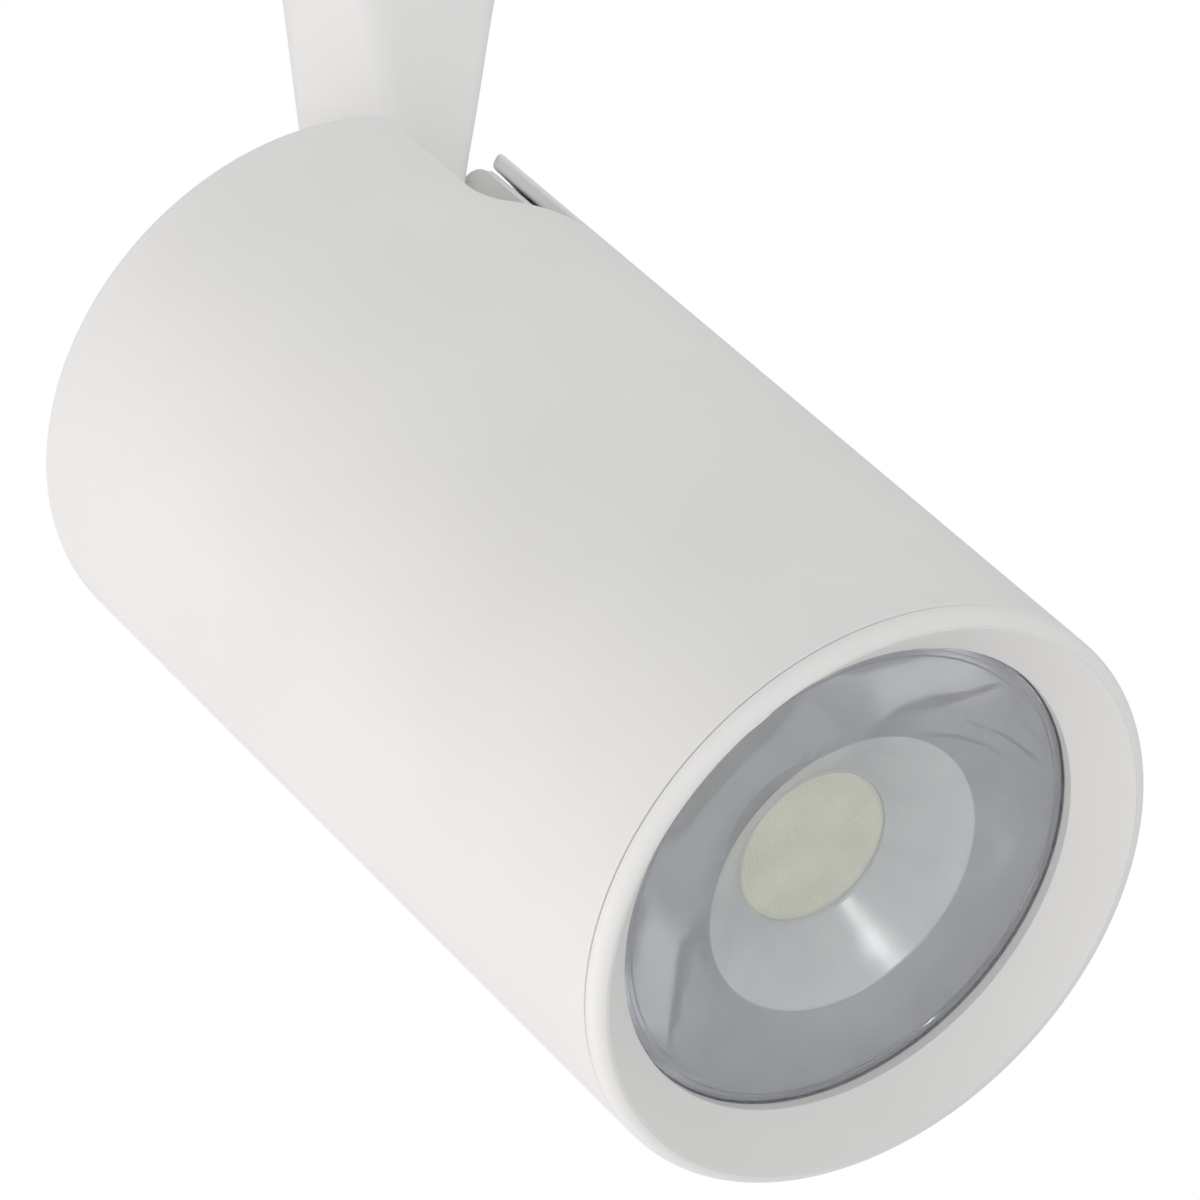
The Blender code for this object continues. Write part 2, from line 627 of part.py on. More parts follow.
def make_electronics():
    """The driver's board and its main components, standing on it."""
    top = BOARD_Z + 1.6
    part("driver_board", block(-14, 14, -101, -22, BOARD_Z, top), "circuit board")
    z = top + GAP
    part("transformer", prism(rounded(-9, 9, -78, -60, 1.5), z, z + 16), "black plastic")
    part("terminal_block", block(-9, 9, -35, -26, z, z + 9), "nylon")
    choke = ring(2.6, 6.0, z, z + 11, MEDIUM)
    part("filter_choke", turned(choke, Matrix.Translation((5, -48, 0))), "copper")
    part("bulk_capacitor", rod(6.2, z, z + 18, MEDIUM, 4, -92), "black plastic")
    part("input_capacitor", block(-10, -4, -54, -42, z, z + 10), "phosphor")


# --- Track adapter ---------------------------------------------------------------------------------


def pocket(y):
    """The through window in which a lever swings out to the side."""
    return block(-BOX_HALF - 5, BOX_HALF + 5, y - 24, y + 18.2, POCKET_LOW, POCKET_HIGH)


def make_adapter_base():
    """The lid of the box, whose raised rim seats against the track."""
    outer = rounded(-BOX_HALF, BOX_HALF, BOX_FRONT_Y, BOX_REAR_Y, BOX_CORNER_R)
    recess = block(-TOWER_HALF - 1, TOWER_HALF + 1, TOWER_FRONT_Y - 1, TOWER_REAR_Y + 1, -RECESS_DEPTH, 5)
    cuts = [recess, pocket(LOCK_Y), pocket(CONTACT_Y)]
    for y in (LOCK_Y, CONTACT_Y):
        cuts.append(rod(SHAFT_HALF + 1.7, POCKET_HIGH - 1, 5, MEDIUM, 0, y))
        cuts.append(rod(2.6, -BASE_T - 5, POCKET_LOW + 1, SMALL, 0, y))
    for x, y in box_screw_places():
        cuts.append(rod(1.9, -BASE_T - 5, 5, SMALL, x, y))
        cuts.append(rod(3.4, -3.4, 5, SMALL, x, y))
    part("adapter_base", prism(outer, -BASE_T, 0), "white plastic", cuts=cuts)
    for number, (x, y) in enumerate(box_screw_places(), 1):
        countersunk = rod(3.0, -3.1, -0.6, SMALL, x, y)
        shank = rod(1.3, BOX_TOP - 12, -2, SMALL, x, y)
        part(f"base_screw_{number}", countersunk, "steel", joins=[shank])


def make_adapter_tower():
    """The body that enters the track's channel, slotted for the locking cam and the contacts."""
    outline = rounded(-TOWER_HALF, TOWER_HALF, TOWER_FRONT_Y, TOWER_REAR_Y, 2.0)
    cuts = [block(-20, 20, LOCK_Y - 14.5, LOCK_Y + 14.5, 8.5, 12.5)]
    cuts.append(block(-20, 20, CONTACT_Y - 14.5, CONTACT_Y + 14.5, 8.5, 14.5))
    cuts += [rod(SHAFT_HALF * 1.5 + 0.2, -5, 15.5, MEDIUM, 0, y) for y in (LOCK_Y, CONTACT_Y)]
    cuts.append(block(TOWER_HALF - 1.6, 20, -60.5, -47.5, 3.5, 8))
    part("adapter_tower", prism(outline, GAP - RECESS_DEPTH, TOWER_HEIGHT), "white plastic", cuts=cuts)
    part("earth_contact", block(TOWER_HALF - 1.2, TOWER_HALF + 1.6, -60, -48, 4, 7.5), "copper")


def lever_outline():
    """A disc with a finger tab that lies along the window's edge when the lever is closed."""
    tab_in, tab_out, tab_end = 9.0, 17.4, -23.0
    points = [(tab_in, tab_end), (tab_out, tab_end), (tab_out, 0.0)]
    points += arc(LEVER_R, 0, 0, 20, 310, 20)
    return points


def make_lever(name, axis):
    disc = prism(lever_outline(), POCKET_LOW + GAP, POCKET_HIGH - GAP)
    shaft = rod(SHAFT_HALF * 1.4, POCKET_HIGH - 1, 8.2, MEDIUM)
    square = block(-SHAFT_HALF, SHAFT_HALF, -SHAFT_HALF, SHAFT_HALF, 8, 15)
    journal = rod(2.2, -BASE_T, POCKET_LOW + 1, SMALL)
    part(name, disc, "white plastic", axis, joins=[shaft, square, journal])


def make_cam(axis):
    """Steel wings that hook over the track's ledges when they point to both sides."""
    wings = rounded(-CAM_REACH, CAM_REACH, -4.6, 4.6, 4.5)
    hole = block(-SHAFT_HALF - GAP, SHAFT_HALF + GAP, -SHAFT_HALF - GAP, SHAFT_HALF + GAP, 0, 20)
    part("lock_cam", prism(wings, 8.9, 12.1), "steel", axis, cuts=[hole])


def make_contacts(axis):
    """A line and a neutral contact, on opposite sides and at different heights."""
    for name, side, low in (("line_contact", 1, 9.0), ("neutral_contact", -1, 12.4)):
        ends = sorted((-5.0 * side, CAM_REACH * side))
        hole = block(-SHAFT_HALF - GAP, SHAFT_HALF + GAP, -SHAFT_HALF - GAP, SHAFT_HALF + GAP, 0, 20)
        part(name, prism(rounded(*ends, -4.6, 4.6, 1.5), low, low + 1.2), "copper", axis, cuts=[hole])


def build():
    clear_scene()
    pan = axis_empty("pan_axis", 0, 0, PIVOT_Z)
    head = axis_empty("tilt_axis", 0, 0, 0, pan, TILT_DOWN - 90)
    lock = axis_empty("lock_axis", 0, LOCK_Y, 0)
    contact = axis_empty("contact_axis", 0, CONTACT_Y, 0)
    make_housing(head)
    make_bezel(head)
    make_lens(head)
    make_lens_holder(head)
    make_light_source(head)
    make_heat_sink(head)
    make_bracket(head)
    make_rear_cover(head)
    make_pivot_hardware(head)
    make_cob_lead(head)
    make_arm(pan)
    make_swivel(pan)
    make_driver_housing()
    make_electronics()
    make_adapter_base()
    make_adapter_tower()
    make_lever("lock_lever", lock)
    make_cam(lock)
    make_lever("contact_lever", contact)
    make_contacts(contact)


build()
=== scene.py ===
"""The looks of the track spotlight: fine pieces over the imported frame, materials, light and camera.

Sizes are in millimetres, and MM turns them into the frame's metres. Head pieces are built along the head's
axis and then turned into place: local Z runs to the rear, local -Y is the head's top, and "s" is a distance
behind the front ring.
"""

import json
import math

import bmesh
import bpy
from mathutils import Matrix, Vector
from mathutils.geometry import delaunay_2d_cdt


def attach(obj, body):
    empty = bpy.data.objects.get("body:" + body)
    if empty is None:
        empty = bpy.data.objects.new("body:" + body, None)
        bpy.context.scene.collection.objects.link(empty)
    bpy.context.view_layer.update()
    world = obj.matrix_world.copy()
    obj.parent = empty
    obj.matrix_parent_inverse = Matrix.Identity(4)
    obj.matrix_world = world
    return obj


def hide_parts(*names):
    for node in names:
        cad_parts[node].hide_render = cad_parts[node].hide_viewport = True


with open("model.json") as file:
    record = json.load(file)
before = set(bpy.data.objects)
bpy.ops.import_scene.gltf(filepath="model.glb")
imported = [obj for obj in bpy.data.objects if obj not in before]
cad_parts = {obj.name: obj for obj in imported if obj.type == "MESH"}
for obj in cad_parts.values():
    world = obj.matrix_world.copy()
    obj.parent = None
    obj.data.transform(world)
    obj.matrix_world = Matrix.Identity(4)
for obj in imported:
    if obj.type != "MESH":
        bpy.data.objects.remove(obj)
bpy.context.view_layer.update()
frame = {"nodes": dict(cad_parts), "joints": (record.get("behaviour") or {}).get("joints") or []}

MM = 0.001
JOINTS = {joint["name"]: joint for joint in frame["joints"]}
PIVOT = Vector(JOINTS["tilt"]["pos_m"])

# Head
TILT_DOWN = 40.3
PIVOT_S = 128.4
HEAD_R = 45.0
HEAD_LENGTH = 150.1
HEAD_MIDDLE_S = 75.0
WALL = 2.5
SEAM_S = 1.0
GAP = 0.3
NOSE_S = -1.5
BEZEL_FILLET_R = 2.2
BEZEL_EDGE = 0.18
OPENING_R = 36.3
OPENING_S = 4.9
LIP_S = 6.5
SEAT_S = 8.6
SKIRT_R = 39.8
SKIRT_S = 16.0
SLOT_HALF = 10.7
SLOT_FRONT_S = 122.3
SLOT_CORNER_R = 4.0
SLOT_REAR_R = 3.0
SEAM_EDGE = 0.35
SHELL_EDGE = 0.8
SHELL_ROWS = (20.0, 40.0, 60.0, 80.0, 100.0, 118.0)
REAR_ROWS = 6

# Optics
LENS_R = 37.5
LENS_STEP_R = 36.1
LENS_FRONT_S = 6.6
LENS_STEP_S = 7.4
LENS_FLANGE_S = 9.4
LENS_RIM_S = 26.0
LENS_RIM_R = 13.0
LENS_STEPS = 72
GROOVE_R = 34.5
WELL_R = 21.5
WELL_FLOOR_R = 11.7
WELL_FLOOR_S = 14.6
CAVITY_R = 11.0
CAVITY_S = 17.0
LENSLET_PITCH = 1.05
LENSLET_HEIGHT = 0.12
FACET_ROWS = 12
FACET_HEIGHT = 0.8
CUP_RIM_S = 9.9
CUP_LIP_S = 11.2
CUP_FOOT_S = 25.9
CUP_R = 39.3

# Screws
THREAD_PITCH = 0.6
THREAD_DEPTH = 0.3
CROSS_HALF = 0.36
CROSS_DEPTH = 1.0

# Levers, with the distance from a lever's axis to its first groove
TAB_FACE_X = 17.4
FIRST_GROOVE = 21.4
GROOVE_PITCH = 1.8
GROOVES = 5

# Arm, its heights measured from the pivot
ARM_LENGTH = 95.0
ARM_WIDTH = 14.6
ARM_DEPTH = 21.0
ARM_EDGE = 2.5
FLARE_FROM = 41.0
FLARE_TO = 80.0
FLARE_PER_MM = 0.52
FLARE_EASE = 6.0
FLARE_EDGE = 3.5
COLLAR_FROM = 90.5
COLLAR_R = 17.3
COLLAR_EDGE = 0.5
PIVOT_BORE_R = 4.3
LEAD_HALF = 3.5
STUD_BORE_R = 6.8
STOP_BORE_R = 1.5
STOP_Y = -14.0

# Light, with distances in metres
ROOM_LIGHT = 0.67
SOFT_LIGHT_AWAY = 1.6
SPOT_AWAY = 1.3

# Segments round the large and the small turned pieces
FINE = 192
ROUND = 96

HEAD = Matrix.Translation(PIVOT) @ Matrix.Rotation(math.radians(TILT_DOWN - 90), 4, "X")
ARM = Matrix.Translation(PIVOT)


# --- Shapes ----------------------------------------------------------------------------------------


def at(s):
    """Local Z of a point s behind the front ring."""
    return s - PIVOT_S


def circle(radius, steps, x=0.0, y=0.0):
    """Points round a circle."""
    angles = [2 * math.pi * i / steps for i in range(steps)]
    return [(x + radius * math.cos(a), y + radius * math.sin(a)) for a in angles]


def arc(radius, x, y, start, end, steps):
    """Points on an arc, angles in degrees, both ends included."""
    angles = [math.radians(start + (end - start) * i / steps) for i in range(steps + 1)]
    return [(x + radius * math.cos(a), y + radius * math.sin(a)) for a in angles]


def rounded(x0, x1, y0, y1, radius, steps=8):
    """A rectangle with round corners, anticlockwise from its lower right corner."""
    corners = ((x1, y0, -90), (x1, y1, 0), (x0, y1, 90), (x0, y0, 180))
    points = []
    for x, y, start in corners:
        centre_x = x - radius if x == x1 else x + radius
        centre_y = y - radius if y == y1 else y + radius
        points += arc(radius, centre_x, centre_y, start, start + 90, steps)
    return points


def bridge(mesh, low, high):
    """Faces between two closed loops of vertices."""
    for i in range(len(low)):
        mesh.faces.new((low[i - 1], low[i], high[i], high[i - 1]))


def loft(rings):
    """A closed body through rings of points, with a flat cap at each end."""
    body = bmesh.new()
    loops = [[body.verts.new(point) for point in ring] for ring in rings]
    for low, high in zip(loops, loops[1:]):
        bridge(body, low, high)
    body.faces.new(reversed(loops[0]))
    body.faces.new(loops[-1])
    bmesh.ops.recalc_face_normals(body, faces=body.faces)
    return body


def prism(outline, low, high):
    """An outline in X and Y drawn out along Z."""
    return loft([[(x, y, z) for x, y in outline] for z in (low, high)])


def block(x0, x1, y0, y1, z0, z1):
    return prism([(x0, y0), (x1, y0), (x1, y1), (x0, y1)], z0, z1)


def rod(radius, low, high, steps=ROUND, x=0.0, y=0.0):
    return prism(circle(radius, steps, x, y), low, high)


def lathe(profile, steps):
    """A closed body: a closed outline of (radius, height) points turned about local Z."""
    body = bmesh.new()
    loops = []
    for radius, height in profile:
        points = circle(radius, steps) if radius else [(0.0, 0.0)]
        loops.append([body.verts.new((x, y, height)) for x, y in points])
    for a, b in zip(loops, loops[1:] + loops[:1]):
        for i in range(steps if len(a) + len(b) > 2 else 0):
            j = (i + 1) % steps
            corners = (a[i % len(a)], a[j % len(a)], b[j % len(b)], b[i % len(b)])
            body.faces.new(dict.fromkeys(corners))
    bmesh.ops.recalc_face_normals(body, faces=body.faces)
    return body


def eased(profile, radius):
    """A closed outline with each of its corners rounded off. Corners that hardly turn stay as they are."""
    points = []
    steps = 3
    for i, corner in enumerate(profile):
        here = Vector(corner)
        before = Vector(profile[i - 1]) - here
        after = Vector(profile[(i + 1) % len(profile)]) - here
        turn = before.angle(after, math.pi)
        if turn > math.radians(165):
            points.append(corner)
            continue
        reach = min(radius / math.tan(turn / 2), before.length / 2.2, after.length / 2.2)
        start = here + before.normalized() * reach
        end = here + after.normalized() * reach
        for k in range(steps + 1):
            t = k / steps
            point = start * (1 - t) ** 2 + here * 2 * t * (1 - t) + end * t**2
            points.append((point.x, point.y))
    return points


# --- Materials -------------------------------------------------------------------------------------


def nodes_of(name):
    """A new material with its node tree and shader."""
    material = bpy.data.materials.new(name)
    material.use_nodes = True
    tree = material.node_tree
    return material, tree, tree.nodes["Principled BSDF"]


def noise(tree, scale, detail=2.0, stretch=(1, 1, 1)):
    """A noise pattern in the object's own space, its scale in cycles per metre."""
    place = tree.nodes.new("ShaderNodeTexCoord")
    mapping = tree.nodes.new("ShaderNodeMapping")
    mapping.inputs["Scale"].default_value = stretch
    texture = tree.nodes.new("ShaderNodeTexNoise")
    texture.inputs["Scale"].default_value = scale
    texture.inputs["Detail"].default_value = detail
    tree.links.new(place.outputs["Object"], mapping.inputs["Vector"])
    tree.links.new(mapping.outputs["Vector"], texture.inputs["Vector"])
    return texture.outputs["Fac"]


def ramp(tree, value, low, high, start=0.3, end=0.7):
    """Maps a 0 to 1 pattern to a range of values or of colours."""
    blend = tree.nodes.new("ShaderNodeValToRGB")
    for element, position, colour in zip(blend.color_ramp.elements, (start, end), (low, high)):
        element.position = position
        element.color = (*colour, 1) if isinstance(colour, tuple) else (colour, colour, colour, 1)
    tree.links.new(value, blend.inputs["Fac"])
    return blend.outputs["Color"]


def bumps(tree, shader, layers):
    """Bump from (pattern, depth in metres) layers, one over the other."""
    normal = None
    for pattern, depth in layers:
        bump = tree.nodes.new("ShaderNodeBump")
        bump.inputs["Strength"].default_value = 1.0
        bump.inputs["Distance"].default_value = depth
        tree.links.new(pattern, bump.inputs["Height"])
        if normal:
            tree.links.new(normal, bump.inputs["Normal"])
        normal = bump.outputs["Normal"]
    tree.links.new(normal, shader.inputs["Normal"])


def tones(tree, shader, pattern, colour, darker, lighter):
    """A base colour that a pattern shades between two factors."""
    low, high = (tuple(min(1.0, channel * factor) for channel in colour) for factor in (darker, lighter))
    tree.links.new(ramp(tree, pattern, low, high), shader.inputs["Base Color"])


def gloss_range(tree, shader, pattern, low, high):
    """A roughness that a pattern moves between two values."""
    tree.links.new(ramp(tree, pattern, low, high), shader.inputs["Roughness"])


def painted(name, colour, roughness):
    """Powder coat: a fine orange peel, faint clouds of tone and an uneven gloss."""
    material, tree, shader = nodes_of(name)
    tones(tree, shader, noise(tree, 28, 3), colour, 0.975, 1.015)
    peel = noise(tree, 900, 2)
    gloss_range(tree, shader, peel, roughness - 0.05, roughness + 0.06)
    bumps(tree, shader, [(peel, 0.000006), (noise(tree, 3600, 1), 0.0000024)])
    shader.inputs["Specular IOR Level"].default_value = 0.3
    return material


def moulded(name, colour, roughness, grain=1800, depth=0.000008, gloss=0.45):
    """Moulded plastic: a spark-eroded grain with slight flow marks."""
    material, tree, shader = nodes_of(name)
    tones(tree, shader, noise(tree, 45, 4, (1, 0.35, 1)), colour, 0.96, 1.02)
    pits = noise(tree, grain, 3)
    gloss_range(tree, shader, pits, roughness - 0.07, roughness + 0.08)
    bumps(tree, shader, [(pits, depth)])
    shader.inputs["Specular IOR Level"].default_value = gloss
    return material


def metal(name, colour, roughness, stretch=(1, 1, 14), scale=420, depth=0.000005):
    """Bare or plated metal: lines from drawing or brushing, and a dull bloom in patches."""
    material, tree, shader = nodes_of(name)
    tones(tree, shader, noise(tree, 60, 4), colour, 0.86, 1.06)
    lines = noise(tree, scale, 3, stretch)
    gloss_range(tree, shader, lines, roughness - 0.08, roughness + 0.12)
    bumps(tree, shader, [(lines, depth)])
    shader.inputs["Metallic"].default_value = 1.0
    return material


def clear(name, colour, roughness, clarity):
    """A moulded optic: partly clear, partly hazy, with the faint waves of its mould."""
    material, tree, shader = nodes_of(name)
    waves = noise(tree, 130, 2)
    tones(tree, shader, waves, colour, 0.95, 1.04)
    bumps(tree, shader, [(waves, 0.00003)])
    shader.inputs["Roughness"].default_value = roughness
    shader.inputs["Transmission Weight"].default_value = clarity
    shader.inputs["IOR"].default_value = 1.49
    return material


def grained(name, dark, light, roughness, cell, depth):
    """A granular surface, such as phosphor in silicone or a filled pad."""
    material, tree, shader = nodes_of(name)
    place = tree.nodes.new("ShaderNodeTexCoord")
    cells = tree.nodes.new("ShaderNodeTexVoronoi")
    cells.inputs["Scale"].default_value = cell
    tree.links.new(place.outputs["Object"], cells.inputs["Vector"])
    spots = cells.outputs["Distance"]
    tree.links.new(ramp(tree, spots, light, dark, 0.1, 0.8), shader.inputs["Base Color"])
    gloss_range(tree, shader, spots, roughness - 0.08, roughness + 0.08)
    bumps(tree, shader, [(spots, depth)])
    return material


MATERIALS = {
    "head_paint": painted("powder_coat", (0.815, 0.81, 0.80), 0.56),
    "cover_plastic": moulded("cover_plastic", (0.76, 0.76, 0.75), 0.52),
    "box_plastic": moulded("box_plastic", (0.79, 0.79, 0.78), 0.50),
    "lens_clear": clear("lens_face", (0.90, 0.915, 0.955), 0.05, 0.78),
    "holder_plastic": moulded("holder_plastic", (0.72, 0.73, 0.74), 0.30, 900, 0.000005, 0.6),
    "gasket": grained("silicone", (0.30, 0.31, 0.33), (0.42, 0.43, 0.45), 0.66, 1500, 0.000006),
    "substrate": metal("substrate_metal", (0.80, 0.81, 0.80), 0.36, (1, 12, 1)),
    "phosphor": grained("phosphor", (0.66, 0.62, 0.22), (0.83, 0.80, 0.40), 0.5, 1300, 0.00003),
    "pad": grained("thermal_pad", (0.22, 0.24, 0.27), (0.34, 0.36, 0.39), 0.8, 1900, 0.00001),
    "sink_aluminium": metal("extruded_aluminium", (0.62, 0.63, 0.65), 0.40, (1, 1, 0.06), 1400),
    "steel": metal("zinc_plate", (0.58, 0.58, 0.57), 0.34, (1, 1, 1), 900),
    "contact_copper": metal("contact_copper", (0.72, 0.42, 0.22), 0.30, (1, 9, 1), 700),
    "nylon": moulded("nylon", (0.70, 0.70, 0.66), 0.48, 700),
    "lead_sheath": moulded("lead_sheath", (0.62, 0.62, 0.61), 0.45, 1200),
    "board_green": moulded("solder_mask", (0.05, 0.22, 0.09), 0.38, 600),
    "black_plastic": moulded("black_plastic", (0.035, 0.035, 0.04), 0.42),
    "winding": metal("enamelled_wire", (0.50, 0.22, 0.10), 0.30, (1, 1, 40), 900, 0.00004),
    "capacitor_yellow": moulded("capacitor_film", (0.62, 0.45, 0.06), 0.28),
}

# The lens's materials by zone. The face is the first, with the slot's own material.
LENS_ZONES = [
    MATERIALS["lens_clear"],
    clear("lens_well", (0.94, 0.97, 1.0), 0.22, 0.55),
    clear("lenslets", (0.82, 0.83, 0.71), 0.20, 0.25),
    clear("lens_facets", (0.94, 0.96, 1.0), 0.04, 0.62),
]
WELL_ZONE, FLOOR_ZONE, FACET_ZONE = 1, 2, 3

# CAD pieces shown as they are, with their slots
CARRIED = {
    "lens_gasket": "gasket",
    "cob_board": "substrate",
    "cob_phosphor": "phosphor",
    "cob_clamp": "holder_plastic",
    "cob_screw_1": "steel",
    "cob_screw_2": "steel",
    "thermal_pad": "pad",
    "heat_sink": "sink_aluminium",
    "bracket_screw_1": "steel",
    "bracket_screw_2": "steel",
    "pivot_nut": "steel",
    "disc_spring": "steel",
    "friction_washer_1": "nylon",
    "friction_washer_2": "nylon",
    "cob_lead": "lead_sheath",
    "arm_lead": "lead_sheath",
    "swivel_washer": "nylon",
    "wave_washer": "steel",
    "swivel_stud": "steel",
    "swivel_nut": "steel",
    "stop_pin": "steel",
    "driver_board": "board_green",
    "transformer": "black_plastic",
    "terminal_block": "nylon",
    "filter_choke": "winding",
    "bulk_capacitor": "black_plastic",
    "input_capacitor": "capacitor_yellow",
    "earth_contact": "contact_copper",
    "lock_cam": "steel",
    "line_contact": "contact_copper",
    "neutral_contact": "contact_copper",
}


# --- Placing pieces --------------------------------------------------------------------------------


def piece(name, body, matrix, rides_on, slot, *stands_for, sharp=180.0):
    """A finished piece: placed, shaded, painted, riding on a body, with the CAD nodes it stands in for
    hidden.
    """
    bmesh.ops.scale(body, vec=(MM, MM, MM), verts=body.verts)
    mesh = bpy.data.meshes.new(name)
    body.to_mesh(mesh)
    body.free()
    made = bpy.data.objects.new(name, mesh)
    bpy.context.scene.collection.objects.link(made)
    made.matrix_world = matrix
    mesh.materials.append(MATERIALS[slot])
    mesh.shade_smooth()
    if sharp < 180:
        mesh.set_sharp_from_angle(angle=math.radians(sharp))
    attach(made, rides_on)
    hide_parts(*stands_for)
    return made


def weighted(made):
    """Keeps broad faces flat in the shading beside their small edge radii."""
    modifier = made.modifiers.new("weighted normals", "WEIGHTED_NORMAL")
    modifier.keep_sharp = True
    modifier.weight = 80


def cut(made, shapes, matrix, sharp):
    """Cuts shapes given in the piece's local space out of it, and marks its sharp edges afresh."""
    for shape in shapes:
        bmesh.ops.scale(shape, vec=(MM, MM, MM), verts=shape.verts)
        mesh = bpy.data.meshes.new("tool")
        shape.to_mesh(mesh)
        shape.free()
        tool = bpy.data.objects.new("tool", mesh)
        bpy.context.scene.collection.objects.link(tool)
        tool.matrix_world = matrix
        modifier = made.modifiers.new("cut", "BOOLEAN")
        modifier.operation = "DIFFERENCE"
        modifier.object = tool
        graph = bpy.context.evaluated_depsgraph_get()
        done = bpy.data.meshes.new_from_object(made.evaluated_get(graph))
        made.modifiers.clear()
        made.data = done
        bpy.data.objects.remove(tool)
    made.data.set_sharp_from_angle(angle=math.radians(sharp))


def refined(node, rides_on, slot, edge):
    """A CAD solid's own shape with its faces cleaned and its edges rounded."""
    body = bmesh.new()
    body.from_mesh(frame["nodes"][node].data)
    bmesh.ops.remove_doubles(body, verts=body.verts, dist=0.00002)
    nearly_flat = math.radians(0.6)
    bmesh.ops.dissolve_limit(body, angle_limit=nearly_flat, verts=body.verts, edges=body.edges)
    bmesh.ops.scale(body, vec=(1 / MM, 1 / MM, 1 / MM), verts=body.verts)
    made = piece(node + "_fine", body, Matrix.Identity(4), rides_on, slot, node)
    bevel = made.modifiers.new("edges", "BEVEL")
    bevel.width = edge * MM
    bevel.segments = 3
    bevel.limit_method = "ANGLE"
    bevel.angle_limit = math.radians(38)
    bevel.miter_outer = "MITER_ARC"
    weighted(made)
    return made


def make_screw(node, rides_on, matrix, rise):
    """A cross-recessed screw in its CAD solid's place and size: axis along local Z, head domed by rise."""
    solid = frame["nodes"][node]
    place = matrix.inverted() @ solid.matrix_world
    points = [place @ vertex.co / MM for vertex in solid.data.vertices]
    low, top = min(p.z for p in points), max(p.z for p in points)
    x = (min(p.x for p in points) + max(p.x for p in points)) / 2
    y = (min(p.y for p in points) + max(p.y for p in points)) / 2
    reach = [math.hypot(p.x - x, p.y - y) for p in points]
    head_r = max(reach)
    shank_r = max(r for r, p in zip(reach, points) if p.z < low + 0.1)
    under = min(p.z for r, p in zip(reach, points) if r > head_r - 0.1)

    profile = [(0.0, top)]
    profile += [(head_r * k / 5, top - rise * (k / 5) ** 2) for k in (1, 2, 3, 4)]
    profile += [(head_r - 0.2, top - rise), (head_r, top - rise - 0.2), (head_r, under), (shank_r, under)]
    root_r = shank_r - THREAD_DEPTH
    turn = under - THREAD_PITCH
    while turn > low + 2 * THREAD_PITCH:
        profile += [(shank_r, turn), (root_r, turn - THREAD_PITCH / 2)]
        turn -= THREAD_PITCH
    profile += [(root_r, low + 0.6), (0.4, low), (0.0, low)]
    body = lathe(profile, 40)
    bmesh.ops.translate(body, vec=(x, y, 0), verts=body.verts)
    made = piece(node + "_fine", body, matrix, rides_on, "steel", node, sharp=35)
    half = head_r * 0.55
    wings = []
    for long_x, long_y in ((half, CROSS_HALF), (CROSS_HALF, half)):
        mouth = rounded(x - long_x, x + long_x, y - long_y, y + long_y, 0.1, 2)
        foot_x, foot_y = long_x * 0.55, long_y * 0.55
        foot = rounded(x - foot_x, x + foot_x, y - foot_y, y + foot_y, 0.05, 2)
        wings.append(loft([[(*p, top - CROSS_DEPTH) for p in foot], [(*p, top + 0.3) for p in mouth]]))
    cut(made, wings, matrix, 35)


# --- Head ------------------------------------------------------------------------------------------


def tube_point(angle, s, depth):
    """A point of the tube's wall, at an angle from the head's top.

    Going deeper keeps the angle far from the slot. Near it x is kept, so that the slot's sides are flat.
    """
    radius = HEAD_R - depth
    near = min(1.0, max(0.0, (math.radians(60) - abs(angle)) / math.radians(40)))
    level = math.asin(min(0.99, HEAD_R * math.sin(abs(angle)) / radius)) if near else abs(angle)
    turned = math.copysign(abs(angle) + near * (level - abs(angle)), angle)
    return radius * math.sin(turned), -radius * math.cos(turned), at(s)


def slot_front():
    """The slot's front edge from left to right, as (x, s, direction away from the opening)."""
    side = SLOT_HALF - SLOT_CORNER_R
    centre_s = SLOT_FRONT_S + SLOT_CORNER_R
    points = []
    for centre, start in ((-side, 180), (side, 270)):
        for step in range(9):
            angle = math.radians(start + 90 * step / 8)
            away = (math.cos(angle), math.sin(angle))
            points.append((centre + SLOT_CORNER_R * away[0], centre_s + SLOT_CORNER_R * away[1], away))
    middle = [(x, SLOT_FRONT_S, (0.0, -1.0)) for x in (-4.4, -2.2, 0.0, 2.2, 4.4)]
    return points[:9] + middle + points[9:]


def housing_rim():
    """The tube's rear edge round from the slot's one side to its other, as (angle, s, direction away)."""
    inset = SLOT_REAR_R - SHELL_EDGE
    corner = []
    for k in range(7):
        turn = math.pi / 12 * k
        x = SLOT_HALF + SLOT_REAR_R - inset * math.cos(turn)
        top_s = HEAD_LENGTH - SLOT_REAR_R + inset * math.sin(turn)
        corner.append((math.asin(x / HEAD_R), top_s, (math.cos(turn), -math.sin(turn))))
    first = corner[-1][0]
    count = FINE - 20
    rim = list(corner)
    for i in range(1, count):
        angle = first + (2 * math.pi - 2 * first) * i / count
        angle = angle if angle <= math.pi else angle - 2 * math.pi
        rim.append((angle, HEAD_LENGTH - SHELL_EDGE, (0.0, -1.0)))
    return rim + [(-angle, top_s, (-away[0], away[1])) for angle, top_s, away in reversed(corner)]


def rear_rows(top_s):
    """Where a column's vertices lie beside the slot, from the foot of its corners to the rear edge."""
    foot_s = SLOT_FRONT_S + SLOT_CORNER_R
    return [foot_s + (top_s - foot_s) * i / REAR_ROWS for i in range(REAR_ROWS + 1)]


